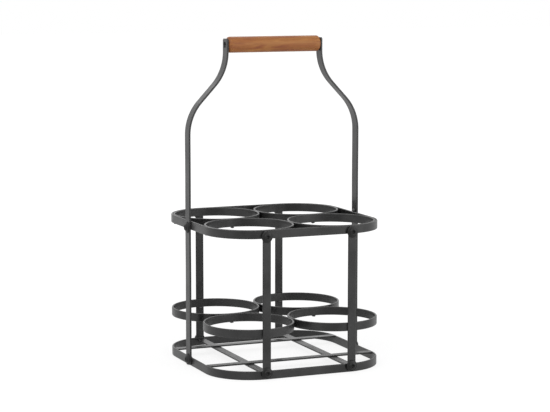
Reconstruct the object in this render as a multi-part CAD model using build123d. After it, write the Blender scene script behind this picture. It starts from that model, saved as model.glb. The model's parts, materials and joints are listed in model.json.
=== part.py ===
from build123d import *
import os
from math import atan2, degrees

# Bottle caddy of flat iron strip: a square loop round four rings at the top, four more rings
# near the foot and a square loop with crossed bars on the floor, joined by four uprights and
# by two handle straps that carry a wooden grip.
# Millimetres, Z up. The origin lies on the floor under the middle of the caddy, with X along
# the grip and the front at -Y.

# Flat iron strip of the loops, rings and uprights; the straps are as thick, but wider
strip_width = 9.0
strip_thickness = 2.0
strip_end_chamfer = 2.4  # at an end under a rivet head
strip_end_setback = 1.0  # from the floor, or the top of the top loop, to the end of a strip
fit_up_gap = 0.1  # left between strips that lie along each other, before they are welded

# Square loops with round corners, the lower one standing on the floor
loop_side = 190.0
top_loop_level = 153.5  # upper edge of the top loop

# Bottle rings
lower_ring_level = 52.0  # upper edge of the lower rings

# Floor bars inside the base loop
bar_width = 9.0
bar_thickness = 1.6

# Rivets that join the uprights and the straps to the loops
rivet_inset = 2.2  # from the edge of the loop that faces the other loop
rivet_shank_radius = 1.5
rivet_head_radius = 6.0
rivet_rim = 1.2
rivet_head_height = 3.0
rivet_slope_width = 2.6  # from the rim in to the flat middle of the head
rivet_gap = 0.05  # around a shank in its hole
head_sides = 12
shank_sides = 6  # of the shanks, and of the holes that they fill

# Wooden grip
grip_length = 104.0
grip_radius = 8.4
grip_end_chamfer = 1.9
grip_level = 335.7  # axis of the grip
grip_end_gap = 0.3  # between each end of the grip and its strap

# Rod through the grip and the straps
rod_radius = 3.2
rod_running_gap = 0.08  # all round the rod in the bore of the grip
rod_seat_gap = 0.05  # all round the rod in the hole of a strap
rod_end_recess = 0.6  # from the outer face of a strap in to the end of the rod

# Handle straps
strap_width = 12.0
strap_bend_radius = 50.0  # at the middle of the strip
strap_knee_drop = 27.2  # from the grip's axis to where the upper and the sloping run would meet
strap_slope_drop = 45.5  # from there to where the sloping and the lower run would meet
strap_above_grip_axis = 6.4
strap_top_chamfer = 1.6
strap_foot_chamfer = 3.6

# Weld beads
bead_radius = 1.9
bead_height = 1.4
strap_bead_radius = 2.6  # of the two beads at the straps
strap_bead_height = 3.2
bead_slope = 30  # degrees that the side of a bead leans in
bead_sides = 6

cut_overrun = 5.0  # past what is cut

# Places that follow from the sizes above
loop_half = loop_side / 2
loop_inner_half = loop_half - strip_thickness
outer_face = loop_half + strip_thickness

top_ring_radius = (loop_inner_half - 3 * fit_up_gap / 2) / 2
top_ring_centre = top_ring_radius + fit_up_gap / 2
lower_ring_radius = (loop_half - 3 * fit_up_gap / 2) / 2
lower_ring_centre = lower_ring_radius + fit_up_gap / 2

loop_corner_inner = top_ring_radius + fit_up_gap
loop_corner_outer = loop_corner_inner + strip_thickness
top_loop_bottom = top_loop_level - strip_width

upright_place = lower_ring_centre
bar_place = lower_ring_centre
strap_place = loop_half + strip_thickness / 2
strap_grip_place = grip_length / 2 + grip_end_gap + strip_thickness / 2
strap_upper_knee = grip_level - strap_knee_drop
strap_lower_knee = strap_upper_knee - strap_slope_drop
top_rivet_level = top_loop_bottom + rivet_inset
base_rivet_level = strip_width - rivet_inset
upper_bar_bottom = strip_width - bar_thickness
lower_bar_bottom = upper_bar_bottom - bar_thickness

CORNERS = {
    "front_left": (-1, -1),
    "front_right": (1, -1),
    "back_left": (-1, 1),
    "back_right": (1, 1),
}
SIDES = {"left": -1, "right": 1}


def outward_y(x, y, z):
    """A frame at a place on the front or back, whose Z points away from the middle."""
    return Plane(origin=(x, y, z), x_dir=(1, 0, 0), z_dir=(0, 1 if y > 0 else -1, 0))


def outward_x(x, y, z):
    """A frame at a place on the left or right, whose Z points away from the middle."""
    return Plane(origin=(x, y, z), x_dir=(0, 1, 0), z_dir=(1 if x > 0 else -1, 0, 0))


def upright_frames(level, depth):
    """Frames on the axes of the four upright rivets at one level, at a distance from the middle."""
    return [outward_y(sx * upright_place, sy * depth, level) for sx, sy in CORNERS.values()]


def strap_frames(level, depth):
    """Frames on the axes of the two strap rivets at one level."""
    return [outward_x(side * depth, 0, level) for side in SIDES.values()]


def drilled(solid, frames):
    """The solid with a rivet hole along each frame's axis."""
    hole = extrude(RegularPolygon(rivet_shank_radius + rivet_gap, shank_sides), cut_overrun, both=True)
    for frame in frames:
        solid -= frame * hole
    return solid


def square_loop(bottom):
    """One square loop of strip on edge, with round corners."""
    outline = RectangleRounded(loop_side, loop_side, loop_corner_outer)
    opening = RectangleRounded(2 * loop_inner_half, 2 * loop_inner_half, loop_corner_inner)
    return Pos(Z=bottom) * extrude(outline - opening, strip_width)


def drilled_loop(bottom, rivet_level):
    """A loop with holes for the rivets of the uprights and of the straps."""
    loop = drilled(square_loop(bottom), upright_frames(rivet_level, loop_half))
    return drilled(loop, strap_frames(rivet_level, loop_half))


def top_loop():
    """Upper loop, which holds the four top rings."""
    return drilled_loop(top_loop_bottom, top_rivet_level)


def base_loop():
    """Lower loop, which the caddy stands on."""
    return drilled_loop(0, base_rivet_level)


def ring(radius, centre, level):
    """One closed ring of strip on edge, with its upper edge at a level."""
    band = Circle(radius) - Circle(radius - strip_thickness)
    return Pos(centre[0], centre[1], level - strip_width) * extrude(band, strip_width)


def top_ring(corner):
    """A bottle ring that fits the corner of the top loop."""
    sx, sy = CORNERS[corner]
    return ring(top_ring_radius, (sx * top_ring_centre, sy * top_ring_centre), top_loop_level)


def lower_ring(corner):
    """A bottle ring that steadies the foot of a bottle, between its upright and its neighbours."""
    sx, sy = CORNERS[corner]
    return ring(lower_ring_radius, (sx * lower_ring_centre, sy * lower_ring_centre), lower_ring_level)


def loop_opening(bottom, height):
    """The space inside a loop, used to trim the floor bars to its curve."""
    side = 2 * loop_inner_half
    return Pos(Z=bottom) * extrude(RectangleRounded(side, side, loop_corner_inner), height)


def base_bar_across(side):
    """A floor bar from left to right, on top of the other pair."""
    bar = Pos(0, side * bar_place, upper_bar_bottom + bar_thickness / 2) * Box(
        loop_side, bar_width, bar_thickness
    )
    return bar & loop_opening(upper_bar_bottom, bar_thickness)


def base_bar_along(side):
    """A floor bar from front to back, under the other pair."""
    bar = Pos(side * bar_place, 0, lower_bar_bottom + bar_thickness / 2) * Box(
        bar_width, loop_side, bar_thickness
    )
    return bar & loop_opening(lower_bar_bottom, bar_thickness)


def strip_outline(width, length, foot_chamfer, top_chamfer):
    """A strip laid flat, from its foot at the origin up along Y, with its corners cropped."""
    outline = Pos(Y=length / 2) * Rectangle(width, length)
    outline = chamfer(outline.vertices().group_by(Axis.Y)[0], foot_chamfer)
    return chamfer(outline.vertices().group_by(Axis.Y)[-1], top_chamfer)


def upright(corner):
    """A flat strip outside both loops, drilled near each end for its rivet."""
    sx, sy = CORNERS[corner]
    foot = (sx * upright_place, sy * loop_half, strip_end_setback)
    length = top_loop_level - 2 * strip_end_setback
    outline = strip_outline(strip_width, length, strip_end_chamfer, strip_end_chamfer)
    body = Plane(origin=foot, x_dir=(1, 0, 0), z_dir=(0, -1, 0)) * extrude(outline, -sy * strip_thickness)
    levels = (base_rivet_level, top_rivet_level)
    return drilled(body, [outward_y(sx * upright_place, sy * outer_face, level) for level in levels])


def handle_strap(side):
    """A strap from the base loop past the top loop and in, by an S bend, to the end of the grip."""
    top_level = grip_level + strap_above_grip_axis
    foot = (strap_place, 0, strip_end_setback)
    lower_knee = (strap_place, 0, strap_lower_knee)
    upper_knee = (strap_grip_place, 0, strap_upper_knee)
    end = (strap_grip_place, 0, top_level)
    path = FilletPolyline(foot, lower_knee, upper_knee, end, radius=strap_bend_radius)
    band = sweep(Pos(*foot) * Rectangle(strip_thickness, strap_width), path)
    length = top_level - strip_end_setback
    outline = strip_outline(strap_width, length, strap_foot_chamfer, strap_top_chamfer)
    side_view = Plane(origin=(0, 0, strip_end_setback), x_dir=(0, 1, 0), z_dir=(1, 0, 0))
    body = band & side_view * extrude(outline, outer_face + cut_overrun)
    if side < 0:
        body = mirror(body, Plane.YZ)
    levels = (base_rivet_level, top_rivet_level)
    body = drilled(body, [outward_x(side * outer_face, 0, level) for level in levels])
    hole = Cylinder(rod_radius + rod_seat_gap, 2 * cut_overrun)
    return body - outward_x(side * strap_grip_place, 0, grip_level) * hole


def handle_grip():
    """A turned wooden grip with eased ends and a bore for the rod."""
    blank = Rot(Y=90) * Cylinder(grip_radius, grip_length)
    blank = chamfer(blank.edges().filter_by(GeomType.CIRCLE), grip_end_chamfer)
    bored = blank - Rot(Y=90) * Cylinder(rod_radius + rod_running_gap, grip_length)
    return Pos(Z=grip_level) * bored


def grip_rod():
    """The rod through the grip, which ends a little inside the straps' outer faces."""
    length = 2 * strap_grip_place + strip_thickness - 2 * rod_end_recess
    return Pos(Z=grip_level) * Rot(Y=90) * Cylinder(rod_radius, length)


def rivet():
    """A rivet with a wide raised head, whose shank ends flush with the inside of a loop."""
    grip_thickness = outer_face - loop_inner_half
    slope = atan2(rivet_slope_width, rivet_head_height - rivet_rim)
    outline = RegularPolygon(rivet_head_radius, head_sides)
    rim = extrude(outline, rivet_rim)
    crown = extrude(outline, rivet_head_height - rivet_rim, taper=degrees(slope))
    shank = extrude(RegularPolygon(rivet_shank_radius, shank_sides), grip_thickness)
    return rim + Pos(Z=rivet_rim) * crown + Pos(Z=-grip_thickness) * shank


def rivets_in(frames):
    """A set of equal rivets, one in each frame."""
    pattern = rivet()
    return [frame * pattern for frame in frames]


def bead_above(x, y, z, radius=bead_radius, height=bead_height):
    """A weld bead that stands on an upper edge."""
    outline = RegularPolygon(radius, bead_sides)
    return Pos(x, y, z) * extrude(outline, height, taper=bead_slope)


def bead_below(x, y, z):
    """A weld bead that hangs from the lower edges of the pieces it joins."""
    return Pos(x, y, z) * Rot(X=180) * bead_above(0, 0, 0)


def ring_pair_beads(centre, bottom):
    """Beads under the four places where the rings of one tier touch each other."""
    places = ((-centre, 0), (centre, 0), (0, -centre), (0, centre))
    return [bead_below(x, y, bottom) for x, y in places]


def top_ring_welds():
    """Beads that hold the top rings to each other and to the sides of the top loop."""
    beads = ring_pair_beads(top_ring_centre, top_loop_bottom)
    for sx, sy in CORNERS.values():
        beads.append(bead_below(sx * loop_inner_half, sy * top_ring_centre, top_loop_bottom))
    return beads


def lower_ring_welds(uprights):
    """Beads that hold the lower rings to each other and to the uprights."""
    bottom = lower_ring_level - strip_width
    beads = ring_pair_beads(lower_ring_centre, bottom)
    for corner, (sx, sy) in CORNERS.items():
        beads.append(bead_below(sx * upright_place, sy * loop_half, bottom) - uprights[corner])
    return beads


def base_bar_welds(loop):
    """Beads under the ends of the floor bars, against the base loop and clear of its rivets."""
    along_place = bar_place - rivet_shank_radius - bead_radius
    beads = []
    for sx, sy in CORNERS.values():
        beads.append(bead_below(sx * loop_inner_half, sy * bar_place, upper_bar_bottom) - loop)
        beads.append(bead_below(sx * along_place, sy * loop_inner_half, lower_bar_bottom) - loop)
    return beads


def handle_strap_welds():
    """Half beads on the upper edge of the top loop, against the inner faces of the straps."""
    beads = []
    for side in SIDES.values():
        bead = bead_above(side * loop_half, 0, top_loop_level, strap_bead_radius, strap_bead_height)
        strap_face = outward_x(side * loop_half, 0, top_loop_level)
        beads.append(split(bead, strap_face, keep=Keep.BOTTOM))
    return beads


def build_parts():
    """Every piece of the caddy by name; a set of equal pieces is a list."""
    parts = {"top_loop": top_loop(), "base_loop": base_loop()}
    for corner in CORNERS:
        parts[f"top_ring_{corner}"] = top_ring(corner)
        parts[f"lower_ring_{corner}"] = lower_ring(corner)
        parts[f"upright_{corner}"] = upright(corner)
    for name, side in (("front", -1), ("back", 1)):
        parts[f"base_bar_{name}"] = base_bar_across(side)
    for name, side in SIDES.items():
        parts[f"base_bar_{name}"] = base_bar_along(side)
        parts[f"handle_strap_{name}"] = handle_strap(side)
    parts["handle_grip"] = handle_grip()
    parts["grip_rod"] = grip_rod()

    parts["top_upright_rivets"] = rivets_in(upright_frames(top_rivet_level, outer_face))
    parts["base_upright_rivets"] = rivets_in(upright_frames(base_rivet_level, outer_face))
    parts["top_strap_rivets"] = rivets_in(strap_frames(top_rivet_level, outer_face))
    parts["base_strap_rivets"] = rivets_in(strap_frames(base_rivet_level, outer_face))

    uprights = {corner: parts[f"upright_{corner}"] for corner in CORNERS}
    parts["top_ring_welds"] = top_ring_welds()
    parts["lower_ring_welds"] = lower_ring_welds(uprights)
    parts["base_bar_welds"] = base_bar_welds(parts["base_loop"])
    parts["handle_strap_welds"] = handle_strap_welds()
    return parts


def write_parts(parts):
    """One STEP file for each named piece or set of equal pieces."""
    os.makedirs("parts", exist_ok=True)
    for name, piece in parts.items():
        solids = piece if isinstance(piece, list) else [piece]
        bodies = [solid for entry in solids for solid in entry.solids()]
        shape = bodies[0] if len(bodies) == 1 else Compound(children=bodies)
        shape.label = name
        export_step(shape, f"parts/{name}.step")


write_parts(build_parts())
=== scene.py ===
import json
import math

import bmesh
import bpy
from mathutils import Matrix, Vector, noise


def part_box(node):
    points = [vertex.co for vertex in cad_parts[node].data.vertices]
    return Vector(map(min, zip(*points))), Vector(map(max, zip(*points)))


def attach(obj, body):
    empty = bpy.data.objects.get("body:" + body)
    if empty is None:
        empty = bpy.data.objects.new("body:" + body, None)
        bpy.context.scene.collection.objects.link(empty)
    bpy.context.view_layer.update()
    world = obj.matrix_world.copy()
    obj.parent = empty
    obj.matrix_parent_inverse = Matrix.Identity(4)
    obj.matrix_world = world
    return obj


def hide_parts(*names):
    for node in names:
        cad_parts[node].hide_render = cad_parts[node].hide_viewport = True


# Bottle caddy of painted flat iron strip with a turned wooden grip, on a pale floor.
# Metres, Z up, X along the grip and the front at -Y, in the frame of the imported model.
MM = 0.001

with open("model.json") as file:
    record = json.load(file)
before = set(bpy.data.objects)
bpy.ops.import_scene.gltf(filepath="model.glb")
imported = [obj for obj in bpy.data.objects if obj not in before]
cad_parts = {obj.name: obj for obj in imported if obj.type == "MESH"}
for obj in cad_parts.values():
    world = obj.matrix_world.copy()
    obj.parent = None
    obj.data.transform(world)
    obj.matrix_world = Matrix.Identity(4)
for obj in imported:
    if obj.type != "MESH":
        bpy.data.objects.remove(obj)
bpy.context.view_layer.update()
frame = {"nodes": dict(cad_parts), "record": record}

CORNERS = ("front_left", "front_right", "back_left", "back_right")
SIDES = {"left": -1, "right": 1}

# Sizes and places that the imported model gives
loop_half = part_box("base_loop")[1].x
upright_low, upright_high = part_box("upright_back_right")
strip_width = upright_high.x - upright_low.x
strip_thickness = upright_high.y - upright_low.y
ring_low, ring_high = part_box("top_ring_back_right")
ring_radius = (ring_high.x - ring_low.x) / 2
ring_centre = (ring_high.x + ring_low.x) / 2
fit_up_gap = 2 * (ring_centre - ring_radius)
loop_corner = ring_radius + fit_up_gap + strip_thickness
grip_low, grip_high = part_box("handle_grip")
grip_level = (grip_low.z + grip_high.z) / 2
grip_radius = (grip_high.z - grip_low.z) / 2
grip_half = grip_high.x
rod_low, rod_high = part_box("grip_rod")
rod_radius = (rod_high.z - rod_low.z) / 2
strap_low, strap_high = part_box("handle_strap_right")
strap_width = strap_high.y - strap_low.y
same_place = 0.001 * MM  # closer than this, two corners of a mesh are one

# Cropped ends of the uprights
upright_crop = 2.4 * MM

# Handle straps, as the model bends them
strap_bend_radius = 50.0 * MM
strap_knee_drop = 27.2 * MM
strap_slope_drop = 45.5 * MM
strap_top_crop = 1.6 * MM
strap_foot_crop = 3.6 * MM
rod_seat_gap = 0.05 * MM

# Finish of the edges and the small unevenness of bent strip
edge_rounding = 0.85 * MM
edge_steps = 3
edge_angle = math.radians(35)  # from which a fold counts as an edge
bar_edge_rounding = 0.3 * MM
bar_end_steps = 8
unevenness = 0.16 * MM
unevenness_per_metre = 17.0
station_spacing = 6.0 * MM
arc_steps = 20
ring_steps = 112
ring_ease = 0.15 * MM  # that a ring stands back from the strip round it, so that a groove shows

# Rivet heads: radius and height shares of the outline from the dish outwards
rivet_outline_shares = (
    (0.0, 0.36), (0.12, 0.38), (0.19, 0.46), (0.25, 0.7), (0.31, 0.92),
    (0.38, 1.0), (0.46, 0.97), (0.53, 0.83), (0.58, 0.66), (0.65, 0.57),
    (0.78, 0.5), (0.89, 0.42), (0.96, 0.3), (1.0, 0.12), (0.99, 0.0),
)
rivet_sides = 40
rivet_tail_radius = 2.5 * MM
rivet_tail_rise = 0.45 * MM
rivet_tail_overlap = 0.3 * MM
rivet_tail_steps = 6

# Wooden grip and its rod
grip_end_rounding = 3.0 * MM
grip_end_steps = 8
grip_length_steps = 40
grip_bore_gap = 0.08 * MM
grip_sides = 72
grip_unevenness = 0.05 * MM
grip_unevenness_per_metre = 60.0
rod_end_rounding = 0.5 * MM
rod_ease_share = 0.3  # of the rounding, at the middle of the eased edge
rod_dimple_radius = 2.3 * MM
rod_dimple_depth = 1.7 * MM
dimple_floor_share, dimple_wall_share = 0.6, 0.9  # of the dimple's radius
dimple_wall_depth_share = 0.7  # of the dimple's depth
rod_sides = 48

# Weld beads
bead_overlap = 0.5 * MM
bead_subdivisions = 4
bead_unevenness = 0.35 * MM
bead_unevenness_per_metre = 420.0
flat_bead_share = 0.3  # of the height, where a ring meets the side of a loop
against_strap_share = 1.3  # of the half width of a bead whose middle lies on a strap's face

# Paint and weld metal: shares of the grey level, and the depths of the relief
blotch_dark, blotch_light, speck_light = 0.6, 1.4, 2.2
lump_dark, lump_light = 0.7, 1.4
worn_paint = (0.16, 0.155, 0.15, 1.0)
worn_roughness = 0.12
wear_reach = 0.7 * MM
wear_samples = 6
wave_depth = 0.9 * MM
peel_depth = 0.012 * MM
speck_depth = 0.0015 * MM
lump_depth = 0.12 * MM

# Wood: colours of the bands from dark to light, of fibres and of pores
band_colours = (
    (0.36, (0.2, 0.053, 0.012, 1.0)), (0.46, (0.287, 0.081, 0.017, 1.0)),
    (0.54, (0.351, 0.119, 0.022, 1.0)), (0.64, (0.438, 0.183, 0.041, 1.0)),
)
fibre_colour = (0.215, 0.07, 0.016, 1.0)
pore_colour = (0.09, 0.03, 0.01, 1.0)
band_share, cloud_share = 0.55, 0.45
fibre_depth = 0.03 * MM
pore_depth = 0.05 * MM

# Camera at the photo's angle
camera_azimuth = math.radians(-22.95)
camera_pitch = math.radians(7.39)
camera_distance = 1.981
camera_target = Vector((1.9 * MM, -0.8 * MM, 164.2 * MM))
focal_length = 122.2

# Pale floor, whose glow grows with the distance from the caddy
floor_half = 9.0
floor_cells = 24
paper_dark, paper_light = 0.8, 0.84  # grey levels that light falling on things meets
shaded_paper = 0.22  # grey level that the camera sees besides the glow, and that takes the shadow
glow_start, glow_end = 0.15, 0.9  # distances
glow_near, glow_far = 0.83, 0.94
gloss_dimming = 0.14  # of the glow, as gloss sees it
world_light = 0.5  # strength of the world's light on things, where the camera sees 1

# The side of the studio where the camera stands, which gloss shows as a dark patch
dark_side = Vector((-0.39, -0.92, 0.0))
patch_rim, patch_core = 0.68, 0.95  # as cosines of the angle from it
floor_patch, world_patch = 0.5, 0.6  # how much darker its core is
floor_patch_start, floor_patch_end = 0.15, 0.7  # distances over which it sets in on the floor


class Graph:
    """The nodes of a material or a world, with a short way to add one and to join it to others."""

    def __init__(self, owner):
        owner.use_nodes = True
        self.owner = owner
        self.tree = owner.node_tree

    def add(self, kind, inputs=(), **settings):
        node = self.tree.nodes.new(kind)
        for key, value in settings.items():
            setattr(node, key, value)
        for key, value in dict(inputs).items():
            self.give(node.inputs[key], value)
        return node

    def give(self, socket, value):
        if isinstance(value, bpy.types.NodeSocket):
            self.tree.links.new(value, socket)
        else:
            socket.default_value = value

    def surfaced(self, inputs):
        """The material, once its surface shader has these inputs."""
        shader = self.tree.nodes["Principled BSDF"]
        for key, value in inputs.items():
            self.give(shader.inputs[key], value)
        return self.owner

    def noise(self, vector, scale, detail=2.0, distortion=0.0):
        inputs = {"Vector": vector, "Scale": scale, "Detail": detail, "Distortion": distortion}
        return self.add("ShaderNodeTexNoise", inputs).outputs["Fac"]

    def math(self, operation, first, second=0.0, clamp=False):
        inputs = {0: first, 1: second}
        return self.add("ShaderNodeMath", inputs, operation=operation, use_clamp=clamp).outputs[0]

    def dot(self, first, second):
        inputs = {0: first, 1: second}
        return self.add("ShaderNodeVectorMath", inputs, operation="DOT_PRODUCT").outputs["Value"]

    def spread(self, value, low, high, to_low=0.0, to_high=1.0):
        inputs = {"Value": value, "From Min": low, "From Max": high, "To Min": to_low, "To Max": to_high}
        return self.add("ShaderNodeMapRange", inputs).outputs["Result"]

    def mix(self, factor, first, second):
        node = self.add("ShaderNodeMix", data_type="RGBA")
        self.give(node.inputs["Factor"], factor)
        self.give(node.inputs["A"], first)
        self.give(node.inputs["B"], second)
        return node.outputs["Result"]

    def ramp(self, value, stops):
        node = self.add("ShaderNodeValToRGB", {"Fac": value})
        elements = node.color_ramp.elements
        while len(elements) < len(stops):
            elements.new(1.0)
        for element, (place, colour) in zip(elements, stops):
            element.position = place
            element.color = colour
        return node.outputs["Color"]

    def bump(self, height, depth, normal=None):
        inputs = {"Height": height, "Distance": depth, "Strength": 1.0}
        if normal is not None:
            inputs["Normal"] = normal
        return self.add("ShaderNodeBump", inputs).outputs["Normal"]


def grey(level):
    return (level, level, level, 1.0)


def painted_iron(name, level, roughness, wear, gloss_level=0.5):
    """Satin dark paint over flat iron: a faint orange peel, soft blotches and thin paint on the edges."""
    graph = Graph(bpy.data.materials.new(name))
    place = graph.add("ShaderNodeTexCoord").outputs["Object"]
    blotches = graph.noise(place, scale=38.0, detail=4.0)
    peel = graph.noise(place, scale=420.0)
    specks = graph.noise(place, scale=3800.0)
    patches = graph.noise(place, scale=160.0, detail=3.0, distortion=0.6)
    waves = graph.noise(place, scale=26.0, detail=1.0)

    surface = graph.add("ShaderNodeNewGeometry").outputs["Normal"]
    eased = graph.add("ShaderNodeBevel", {"Radius": wear_reach}, samples=wear_samples).outputs["Normal"]
    edges = graph.spread(graph.dot(surface, eased), 0.995, 0.93)
    worn = graph.math("MULTIPLY", edges, graph.spread(patches, 0.42, 0.66), clamp=True)
    worn = graph.math("MULTIPLY", worn, wear, clamp=True)

    dark, light = grey(level * blotch_dark), grey(level * blotch_light)
    paint = graph.mix(graph.spread(blotches, 0.35, 0.65), dark, light)
    paint = graph.mix(graph.spread(specks, 0.62, 0.75, to_high=0.25), paint, grey(level * speck_light))
    gloss = graph.spread(blotches, 0.3, 0.7, roughness - 0.09, roughness + 0.1)
    gloss = graph.math("ADD", gloss, graph.spread(specks, 0.4, 0.7, -0.02, 0.04))
    bent = graph.bump(waves, wave_depth)
    coarse = graph.bump(peel, peel_depth, bent)
    return graph.surfaced({
        "Base Color": graph.mix(worn, paint, worn_paint),
        "Specular IOR Level": gloss_level,
        "Roughness": graph.math("ADD", gloss, graph.math("MULTIPLY", worn, worn_roughness)),
        "Normal": graph.bump(specks, speck_depth, coarse),
    })


def weld_iron(name, level):
    """Painted weld metal, which is rougher and more uneven than the strip."""
    graph = Graph(bpy.data.materials.new(name))
    place = graph.add("ShaderNodeTexCoord").outputs["Object"]
    lumps = graph.noise(place, scale=700.0, detail=4.0, distortion=0.4)
    specks = graph.noise(place, scale=3000.0)
    return graph.surfaced({
        "Base Color": graph.mix(lumps, grey(level * lump_dark), grey(level * lump_light)),
        "Roughness": graph.spread(specks, 0.3, 0.7, 0.4, 0.62),
        "Normal": graph.bump(lumps, lump_depth),
    })


def along_grain(graph, place, stretch, lean):
    """Coordinates in which a pattern is drawn out along X and leans a little from it."""
    inputs = {"Vector": place, "Scale": (stretch, 1.0, 1.0), "Rotation": lean}
    return graph.add("ShaderNodeMapping", inputs).outputs["Vector"]


def wood(name):
    """Oiled brown wood with its grain along the grip, in soft light and dark bands with fine pores."""
    graph = Graph(bpy.data.materials.new(name))
    place = graph.add("ShaderNodeTexCoord").outputs["Object"]
    drift = along_grain(graph, place, stretch=0.16, lean=(0.0, 0.05, 0.03))
    bands = graph.noise(drift, scale=150.0, detail=3.0, distortion=1.1)
    clouds = graph.noise(drift, scale=55.0, detail=3.0, distortion=0.8)
    along = along_grain(graph, place, stretch=0.035, lean=(0.0, 0.04, 0.02))
    fibres = graph.noise(along, scale=1500.0, detail=4.0, distortion=0.2)
    pores = graph.spread(graph.noise(along, scale=2600.0), 0.66, 0.76)

    bands = graph.math("MULTIPLY", bands, band_share)
    clouds = graph.math("MULTIPLY", clouds, cloud_share)
    colour = graph.ramp(graph.math("ADD", bands, clouds), band_colours)
    colour = graph.mix(graph.spread(fibres, 0.35, 0.7, to_high=0.45), colour, fibre_colour)
    colour = graph.mix(graph.math("MULTIPLY", pores, 0.6), colour, pore_colour)
    ridges = graph.bump(fibres, fibre_depth)
    return graph.surfaced({
        "Base Color": colour,
        "Roughness": graph.spread(fibres, 0.3, 0.7, 0.52, 0.66),
        "Normal": graph.bump(pores, -pore_depth, ridges),
        "Coat Weight": 0.1,
        "Coat Roughness": 0.3,
    })


MATERIALS = {
    "painted_strip": painted_iron("painted_strip_paint", level=0.02, roughness=0.34, wear=0.4),
    # Rivet heads: a darker paint than the strips, whose darkness is partly a painted shade on the heads
    "rivets": painted_iron("rivet_paint_and_painted_shade", level=0.01, roughness=0.4, wear=0.5, gloss_level=0.3),
    # Weld beads: a grey level four times the strips', a painted light that lifts the beads out of the
    # shade they sit in
    "weld_beads": weld_iron("weld_paint_and_painted_light", level=0.085),
    # Rod: a near-black paint, which is partly a painted shade that darkens its ends in the straps' holes
    "grip_rod": painted_iron("rod_paint_and_painted_shade", level=0.012, roughness=0.4, wear=0.3),
    "wood": wood("grip_wood"),
}
node_slots = {part["node"]: part["material_slot"] for part in frame["record"]["subparts"]}
node_bodies = {
    node: body for body, names in frame["record"]["behaviour"]["bodies"].items() for node in names
}


def mesh_data(name, mesh):
    """The mesh as data for an object. The mesh itself is freed."""
    data = bpy.data.meshes.new(name)
    mesh.to_mesh(data)
    mesh.free()
    return data


def placed(name, data):
    """A new object with that data, in the scene."""
    item = bpy.data.objects.new(name, data)
    bpy.context.scene.collection.objects.link(item)
    return item


def round_edges(piece, rounding):
    """Rounds every sharp edge of a piece."""
    bevel = piece.modifiers.new("rounded_edges", "BEVEL")
    bevel.width = rounding
    bevel.segments = edge_steps
    bevel.limit_method = "ANGLE"
    bevel.angle_limit = edge_angle
    bevel.harden_normals = True


def finished(node, mesh, rounding=0.0):
    """The piece that stands for one CAD node, with its edges rounded and its material on."""
    bmesh.ops.recalc_face_normals(mesh, faces=mesh.faces)
    data = mesh_data(f"{node}_mesh", mesh)
    data.shade_smooth()
    piece = placed(f"{node}_piece", data)
    if rounding:
        round_edges(piece, rounding)
    slot = node_slots[node]
    data.materials.append(MATERIALS[slot])
    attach(piece, node_bodies[node])
    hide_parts(node)
    return piece


def uneven(point, outward):
    """A place moved a little along the thickness of a strip, as bending by hand leaves it."""
    return point + outward * noise.noise(point * unevenness_per_metre) * unevenness


def swept(stations, closed=False):
    """A flat strip through stations: a middle, the directions of width and thickness, a half width."""
    mesh = bmesh.new()
    rows = []
    for middle, across, outward, half_width in stations:
        middle = uneven(middle, outward)
        rows.append([
            mesh.verts.new(middle + across * half_width * a + outward * strip_thickness / 2 * b)
            for a, b in ((-1, -1), (1, -1), (1, 1), (-1, 1))
        ])
    for row, following in zip(rows, rows[1:] + rows[:1] if closed else rows[1:]):
        for k in range(4):
            mesh.faces.new((row[k - 1], row[k], following[k], following[k - 1]))
    if not closed:
        mesh.faces.new(rows[0])
        mesh.faces.new(rows[-1])
    return mesh


def spaced(start, end):
    """Shares of the way from start to end, close enough to follow the unevenness."""
    steps = max(1, round((end - start).length / station_spacing))
    return [k / steps for k in range(steps + 1)]


def ring_stations(node):
    """Stations round a bottle ring, from its box."""
    low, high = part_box(node)
    centre = (low + high) / 2
    middle_radius = (high.x - low.x - strip_thickness) / 2 - ring_ease
    stations = []
    for k in range(ring_steps):
        angle = 2 * math.pi * k / ring_steps
        outward = Vector((math.cos(angle), math.sin(angle), 0))
        stations.append((centre + outward * middle_radius, Vector((0, 0, 1)), outward, strip_width / 2))
    return stations


def loop_stations(node):
    """Stations round a square loop with round corners, from its box."""
    low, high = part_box(node)
    level = (low.z + high.z) / 2
    straight = loop_half - loop_corner
    radius = loop_corner - strip_thickness / 2
    stations = []
    for quarter in range(4):
        turn = Matrix.Rotation(quarter * math.pi / 2, 3, "Z")
        side_start = Vector((loop_half - strip_thickness / 2, -straight, level))
        side_end = Vector((loop_half - strip_thickness / 2, straight, level))
        outward = Vector((1, 0, 0))
        for share in spaced(side_start, side_end):
            stations.append((turn @ side_start.lerp(side_end, share), turn @ outward))
        for k in range(1, arc_steps):
            angle = math.pi / 2 * k / arc_steps
            direction = Vector((math.cos(angle), math.sin(angle), 0))
            middle = Vector((straight, straight, level)) + direction * radius
            stations.append((turn @ middle, turn @ direction))
    return [(middle, Vector((0, 0, 1)), outward, strip_width / 2) for middle, outward in stations]


def cropped(half_width, distance_from_end, crop):
    """Half the width of a strip near an end whose corners are cropped."""
    return min(half_width, half_width - crop + distance_from_end)


def upright_stations(node):
    """Stations up one upright, with its corners cropped at both ends."""
    low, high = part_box(node)
    middle = (low + high) / 2
    foot = Vector((middle.x, middle.y, low.z))
    top = Vector((middle.x, middle.y, high.z))
    length = high.z - low.z
    outward = Vector((0, math.copysign(1, middle.y), 0))
    crop = upright_crop / length
    shares = [0.0, crop] + [s for s in spaced(foot, top) if crop < s < 1 - crop] + [1 - crop, 1.0]
    stations = []
    for share in shares:
        half_width = cropped(strip_width / 2, min(share, 1 - share) * length, upright_crop)
        stations.append((foot.lerp(top, share), Vector((1, 0, 0)), outward, half_width))
    return stations


def straight_run(start, end, direction):
    """Places and directions on the way to end, without the start."""
    return [(start.lerp(end, share), direction) for share in spaced(start, end)[1:]]


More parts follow.
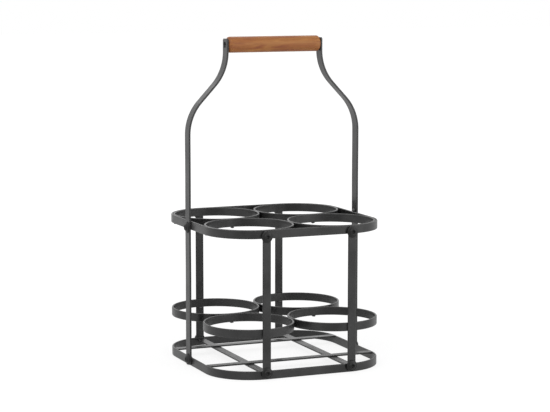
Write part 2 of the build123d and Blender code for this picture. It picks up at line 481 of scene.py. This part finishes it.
def bent_path(points, radius):
    """Places and directions along a path in the XZ plane whose corners are arcs of one radius."""
    places = [(points[0], (points[1] - points[0]).normalized())]
    for before, corner, after in zip(points, points[1:], points[2:]):
        first = (corner - before).normalized()
        second = (after - corner).normalized()
        turn = first.angle(second)
        start = corner - first * radius * math.tan(turn / 2)
        places += straight_run(places[-1][0], start, first)
        towards = (second - first * first.dot(second)).normalized()
        centre = start + towards * radius
        for k in range(1, arc_steps + 1):
            angle = turn * k / arc_steps
            place = centre - towards * radius * math.cos(angle) + first * radius * math.sin(angle)
            places.append((place, first * math.cos(angle) + towards * math.sin(angle)))
    last_place, direction = places[-1]
    return places + straight_run(last_place, points[-1], direction)


def strap_stations(side):
    """Stations up a handle strap: straight past both loops, then in and up by an S bend to the grip."""
    foot_x = side * (loop_half + strip_thickness / 2)
    grip_x = side * (strap_low.x + strip_thickness / 2)
    upper_knee = grip_level - strap_knee_drop
    points = [
        Vector((foot_x, 0, strap_low.z)),
        Vector((foot_x, 0, upper_knee - strap_slope_drop)),
        Vector((grip_x, 0, upper_knee)),
        Vector((grip_x, 0, strap_high.z)),
    ]
    stations = []
    for middle, direction in bent_path(points, strap_bend_radius):
        outward = Vector((direction.z, 0, -direction.x)) * side
        half_width = cropped(strap_width / 2, middle.z - strap_low.z, strap_foot_crop)
        half_width = cropped(half_width, strap_high.z - middle.z, strap_top_crop)
        stations.append((middle, Vector((0, 1, 0)), outward, half_width))
    # One more station at each end, where the strap reaches its full width
    for end, level, index in (
        (stations[0], strap_low.z + strap_foot_crop, 1),
        (stations[-1], strap_high.z - strap_top_crop, -1),
    ):
        middle, across, outward, _ = end
        stations.insert(index, (Vector((middle.x, 0, level)), across, outward, strap_width / 2))
    return stations


def turned(outline, sides, axis="Z"):
    """A closed solid of revolution. The outline lists radius and height along the axis, first to last."""
    mesh = bmesh.new()
    rows = []
    for radius, height in outline:
        count = 1 if radius == 0 else sides
        angles = [2 * math.pi * k / sides for k in range(count)]
        rows.append([mesh.verts.new((radius * math.cos(a), radius * math.sin(a), height)) for a in angles])
    for row, following in zip(rows, rows[1:]):
        for k in range(sides):
            near = [row[k % len(row)], row[(k + 1) % len(row)]]
            far = [following[(k + 1) % len(following)], following[k % len(following)]]
            face = list(dict.fromkeys(near + far))
            if len(face) > 2:
                mesh.faces.new(face)
    if axis == "X":
        bmesh.ops.transform(mesh, matrix=Matrix.Rotation(math.pi / 2, 4, "Y"), verts=mesh.verts)
    return mesh


def islands(node):
    """The box of each separate solid in a CAD node, as lowest and highest corners."""
    mesh = bmesh.new()
    mesh.from_mesh(frame["nodes"][node].data)
    bmesh.ops.remove_doubles(mesh, verts=mesh.verts, dist=same_place)
    waiting = set(mesh.verts)
    boxes = []
    for seed in list(mesh.verts):
        if seed not in waiting:
            continue
        waiting.discard(seed)
        group, edge = [seed], [seed]
        while edge:
            linked = [e.other_vert(v) for v in edge for e in v.link_edges]
            edge = list(dict.fromkeys(v for v in linked if v in waiting))
            waiting.difference_update(edge)
            group += edge
        lows = Vector([min(v.co[k] for v in group) for k in range(3)])
        highs = Vector([max(v.co[k] for v in group) for k in range(3)])
        boxes.append((lows, highs))
    mesh.free()
    return boxes


def joined(meshes):
    """One mesh that holds several."""
    whole = bmesh.new()
    for mesh in meshes:
        data = mesh_data("part", mesh)
        whole.from_mesh(data)
        bpy.data.meshes.remove(data)
    return whole


def rivet(low, high, with_tail):
    """A rivet in the box of its CAD solid: a round head with a dished middle, and a domed tail inside."""
    middle = (low + high) / 2
    if abs(middle.x) > abs(middle.y):
        outward = Vector((math.copysign(1, middle.x), 0, 0))
    else:
        outward = Vector((0, math.copysign(1, middle.y), 0))
    head_radius = (high.z - low.z) / 2
    seat = loop_half + strip_thickness
    height = max(abs(low.dot(outward)), abs(high.dot(outward))) - seat
    outline = [(r * head_radius, h * height) for r, h in rivet_outline_shares]
    parts = [turned(outline + [(0.0, 0.0)], rivet_sides)]
    if with_tail:
        inner = -2 * strip_thickness
        brim = inner + rivet_tail_overlap
        dome = [(0.0, brim), (rivet_tail_radius, brim)]
        for k in range(rivet_tail_steps):
            angle = math.pi / 2 * k / rivet_tail_steps
            dome.append((rivet_tail_radius * math.cos(angle), inner - rivet_tail_rise * math.sin(angle)))
        dome.append((0.0, inner - rivet_tail_rise))
        parts.append(turned(dome, rivet_sides))
    mesh = joined(parts)
    place = middle - outward * middle.dot(outward) + outward * seat
    turn = outward.to_track_quat("Z", "X").to_matrix().to_4x4()
    bmesh.ops.transform(mesh, matrix=Matrix.Translation(place) @ turn, verts=mesh.verts)
    return mesh


def weld_bead(node, low, high):
    """A lumpy drop of weld metal in the box of its CAD solid, sunk a little into what it joins."""
    at_loop = max(abs(low.x), abs(high.x)) > loop_half - strip_width
    if node == "top_ring_welds" and at_loop:
        low = Vector((low.x, low.y, high.z - flat_bead_share * (high.z - low.z)))
    overlap = Vector((bead_overlap, bead_overlap, bead_overlap))
    middle = (low + high) / 2
    half = (high - low) / 2 + overlap / 2
    if node == "handle_strap_welds":
        middle.x = math.copysign(loop_half, middle.x)
        half.x *= against_strap_share
    lowest, highest = low - overlap, high + overlap
    mesh = bmesh.new()
    bmesh.ops.create_icosphere(mesh, subdivisions=bead_subdivisions, radius=1.0)
    for vert in mesh.verts:
        direction = vert.co.normalized()
        place = middle + direction * half
        place -= direction * bead_unevenness * (0.5 + noise.noise(place * bead_unevenness_per_metre))
        vert.co = Vector([min(max(place[k], lowest[k]), highest[k]) for k in range(3)])
    return mesh


def bar_outline(low, high):
    """The outline of a floor bar, whose ends follow the inside of the loop's corners."""
    along_x = high.x - low.x > high.y - low.y
    inner_corner = loop_corner - strip_thickness
    straight = loop_half - strip_thickness - inner_corner
    start, end = (low.y, high.y) if along_x else (low.x, high.x)
    edge = []
    for k in range(bar_end_steps + 1):
        across = start + (end - start) * k / bar_end_steps
        past = max(0.0, abs(across) - straight)
        edge.append((straight + math.sqrt(inner_corner**2 - past**2), across))
    outline = edge + [(-reach, across) for reach, across in reversed(edge)]
    return outline if along_x else [(across, reach) for reach, across in outline]


def floor_bar(node):
    """A flat bar laid across the base loop."""
    low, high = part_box(node)
    mesh = bmesh.new()
    face = mesh.faces.new([mesh.verts.new((x, y, low.z)) for x, y in bar_outline(low, high)])
    made = bmesh.ops.extrude_face_region(mesh, geom=[face])["geom"]
    lifted = [item for item in made if isinstance(item, bmesh.types.BMVert)]
    bmesh.ops.translate(mesh, vec=(0, 0, high.z - low.z), verts=lifted)
    finished(node, mesh, bar_edge_rounding)


def handle_strap(side_name):
    """A handle strap with a round hole for the end of the rod."""
    side = SIDES[side_name]
    node = f"handle_strap_{side_name}"
    piece = finished(node, swept(strap_stations(side)))
    radius, reach = rod_radius + rod_seat_gap, 2 * strip_thickness
    drill = turned([(0.0, -reach), (radius, -reach), (radius, reach), (0.0, reach)], rod_sides, "X")
    bmesh.ops.recalc_face_normals(drill, faces=drill.faces)
    grip_x = side * (strap_low.x + strip_thickness / 2)
    bmesh.ops.translate(drill, vec=(grip_x, 0, grip_level), verts=drill.verts)
    cutter = placed("drill", mesh_data("drill_mesh", drill))
    hole = piece.modifiers.new("rod_hole", "BOOLEAN")
    hole.object = cutter
    hole.solver = "EXACT"
    round_edges(piece, edge_rounding)
    shape = bpy.data.meshes.new_from_object(piece.evaluated_get(bpy.context.evaluated_depsgraph_get()))
    piece.modifiers.clear()
    piece.data = shape
    bpy.data.objects.remove(cutter)


def handle_grip():
    """The wooden grip: a turned bar with rounded ends and a bore for the rod."""
    bore = rod_radius + grip_bore_gap
    arc = []
    for k in range(grip_end_steps + 1):
        angle = math.pi / 2 * k / grip_end_steps
        arc.append((
            grip_radius - grip_end_rounding * (1 - math.sin(angle)),
            grip_half - grip_end_rounding * (1 - math.cos(angle)),
        ))
    straight = grip_half - grip_end_rounding
    spacing = 2 * straight / grip_length_steps
    side = [(grip_radius, straight - spacing * k) for k in range(1, grip_length_steps)]
    outline = [(bore, grip_half)] + arc + side + [(r, -x) for r, x in reversed(arc)] + [(bore, -grip_half)]
    outline.append(outline[0])
    mesh = turned(outline, grip_sides, "X")
    bmesh.ops.remove_doubles(mesh, verts=mesh.verts, dist=same_place)
    for vert in mesh.verts:
        radial = Vector((0, vert.co.y, vert.co.z))
        if radial.length > bore + grip_end_rounding / 2:
            dip = 0.5 + 0.5 * noise.noise(vert.co * grip_unevenness_per_metre)
            vert.co -= radial.normalized() * grip_unevenness * dip
    bmesh.ops.translate(mesh, vec=(0, 0, grip_level), verts=mesh.verts)
    finished("handle_grip", mesh)


def grip_rod():
    """The rod, whose ends are eased and dimpled like the rivets."""
    half = rod_high.x
    ease = rod_end_rounding * rod_ease_share
    end = [
        (0.0, half - rod_dimple_depth),
        (rod_dimple_radius * dimple_floor_share, half - rod_dimple_depth),
        (rod_dimple_radius * dimple_wall_share, half - rod_dimple_depth * dimple_wall_depth_share),
        (rod_dimple_radius, half - rod_end_rounding / 2),
        (rod_dimple_radius + rod_end_rounding / 2, half),
        (rod_radius - rod_end_rounding, half),
        (rod_radius - ease, half - ease),
        (rod_radius, half - rod_end_rounding),
    ]
    mesh = turned(end + [(r, -x) for r, x in reversed(end)], rod_sides, "X")
    bmesh.ops.translate(mesh, vec=(0, 0, grip_level), verts=mesh.verts)
    finished("grip_rod", mesh)


def build_caddy():
    """Every piece of the caddy, each standing for its own CAD node."""
    for node in ("top_loop", "base_loop"):
        finished(node, swept(loop_stations(node), closed=True), edge_rounding)
    for corner in CORNERS:
        for tier in ("top_ring", "lower_ring"):
            node = f"{tier}_{corner}"
            finished(node, swept(ring_stations(node), closed=True), edge_rounding)
        node = f"upright_{corner}"
        finished(node, swept(upright_stations(node)), edge_rounding)
    for side in ("front", "back", "left", "right"):
        floor_bar(f"base_bar_{side}")
    for side in SIDES:
        handle_strap(side)
    for node in ("top_upright_rivets", "base_upright_rivets", "top_strap_rivets", "base_strap_rivets"):
        finished(node, joined([rivet(low, high, "strap" in node) for low, high in islands(node)]))
    for node in ("top_ring_welds", "lower_ring_welds", "base_bar_welds", "handle_strap_welds"):
        finished(node, joined([weld_bead(node, low, high) for low, high in islands(node)]))
    grip_rod()
    handle_grip()


def white_to_the_eye(graph, seen, other):
    """Mixes two shaders: one that the camera, gloss and glass see, one for light that falls on things."""
    rays = graph.add("ShaderNodeLightPath").outputs
    direct = graph.math("ADD", rays["Is Camera Ray"], rays["Is Glossy Ray"], clamp=True)
    direct = graph.math("ADD", direct, rays["Is Transmission Ray"], clamp=True)
    return graph.add("ShaderNodeMixShader", {0: direct, 1: other, 2: seen}).outputs[0]


def build_floor():
    """A pale floor that goes on past the view and keeps the caddy's shadow."""
    mesh = bmesh.new()
    bmesh.ops.create_grid(mesh, x_segments=floor_cells, y_segments=floor_cells, size=floor_half)
    floor = placed("studio_floor", mesh_data("floor_mesh", mesh))

    graph = Graph(bpy.data.materials.new("floor_paper"))
    surface = graph.add("ShaderNodeNewGeometry").outputs["Position"]
    distance = graph.add("ShaderNodeVectorMath", {0: surface}, operation="LENGTH").outputs["Value"]
    mottle = graph.noise(surface, scale=60.0, detail=3.0)
    paper = graph.mix(mottle, grey(paper_dark), grey(paper_light))
    matte = graph.add("ShaderNodeBsdfDiffuse", {"Color": paper}).outputs[0]
    shaded = graph.add("ShaderNodeBsdfDiffuse", {"Color": grey(shaded_paper)}).outputs[0]

    way = graph.add("ShaderNodeVectorMath", {0: surface}, operation="NORMALIZE").outputs["Vector"]
    patch = graph.spread(graph.dot(way, dark_side), patch_rim, patch_core, to_high=floor_patch)
    patch = graph.math("MULTIPLY", patch, graph.spread(distance, floor_patch_start, floor_patch_end))
    gloss_ray = graph.add("ShaderNodeLightPath").outputs["Is Glossy Ray"]
    dimming = graph.math("MULTIPLY", gloss_ray, graph.math("ADD", patch, gloss_dimming))
    strength = graph.spread(distance, glow_start, glow_end, glow_near, glow_far)
    strength = graph.math("SUBTRACT", strength, dimming)
    glow = graph.add("ShaderNodeEmission", {"Strength": strength}).outputs[0]
    seen = graph.add("ShaderNodeAddShader", {0: shaded, 1: glow}).outputs[0]
    surface_socket = graph.tree.nodes["Material Output"].inputs["Surface"]
    graph.give(surface_socket, white_to_the_eye(graph, seen, matte))
    floor.data.materials.append(graph.owner)


def build_world():
    """Even studio light from all round, white to the camera and to gloss but for the patch in gloss."""
    world = bpy.data.worlds.new("studio")
    bpy.context.scene.world = world
    graph = Graph(world)
    graph.tree.nodes.clear()
    rays = graph.add("ShaderNodeLightPath").outputs
    direct = graph.math("MAXIMUM", rays["Is Camera Ray"], rays["Is Glossy Ray"])
    direct = graph.math("MAXIMUM", direct, rays["Is Transmission Ray"])
    strength = graph.spread(direct, 0.0, 1.0, to_low=world_light)
    way = graph.add("ShaderNodeTexCoord").outputs["Generated"]
    patch = graph.spread(graph.dot(way, dark_side), patch_rim, patch_core, to_high=world_patch)
    strength = graph.math("SUBTRACT", strength, graph.math("MULTIPLY", patch, rays["Is Glossy Ray"]))
    light = graph.add("ShaderNodeBackground", {"Color": grey(1.0), "Strength": strength}).outputs[0]
    graph.add("ShaderNodeOutputWorld", {"Surface": light})


def area_light(name, place, size, power):
    """A soft square lamp that faces the caddy."""
    data = bpy.data.lights.new(name, "AREA")
    data.energy = power
    data.size = size
    lamp = placed(name, data)
    lamp.location = place
    lamp.rotation_mode = "QUATERNION"
    lamp.rotation_quaternion = (camera_target - lamp.location).to_track_quat("-Z", "Y")


def build_lights():
    """A large soft lamp above and to the left, and weaker ones on the right and behind."""
    area_light("key", Vector((-1.3, -0.9, 1.9)), size=2.6, power=23.0)
    area_light("fill", Vector((0.95, -1.15, 0.6)), size=1.1, power=7.0)
    area_light("rear", Vector((0.3, 1.8, 1.6)), size=1.4, power=8.0)


def build_camera():
    """The camera at the photo's viewing angle."""
    forward = Vector((
        -math.sin(camera_azimuth) * math.cos(camera_pitch),
        math.cos(camera_azimuth) * math.cos(camera_pitch),
        -math.sin(camera_pitch),
    ))
    data = bpy.data.cameras.new("camera")
    data.lens = focal_length
    camera = placed("camera", data)
    camera.location = camera_target - forward * camera_distance
    camera.rotation_mode = "QUATERNION"
    camera.rotation_quaternion = forward.to_track_quat("-Z", "Y")
    bpy.context.scene.camera = camera


build_caddy()
build_floor()
build_world()
build_lights()
build_camera()
bpy.context.scene.view_settings.view_transform = "Standard"
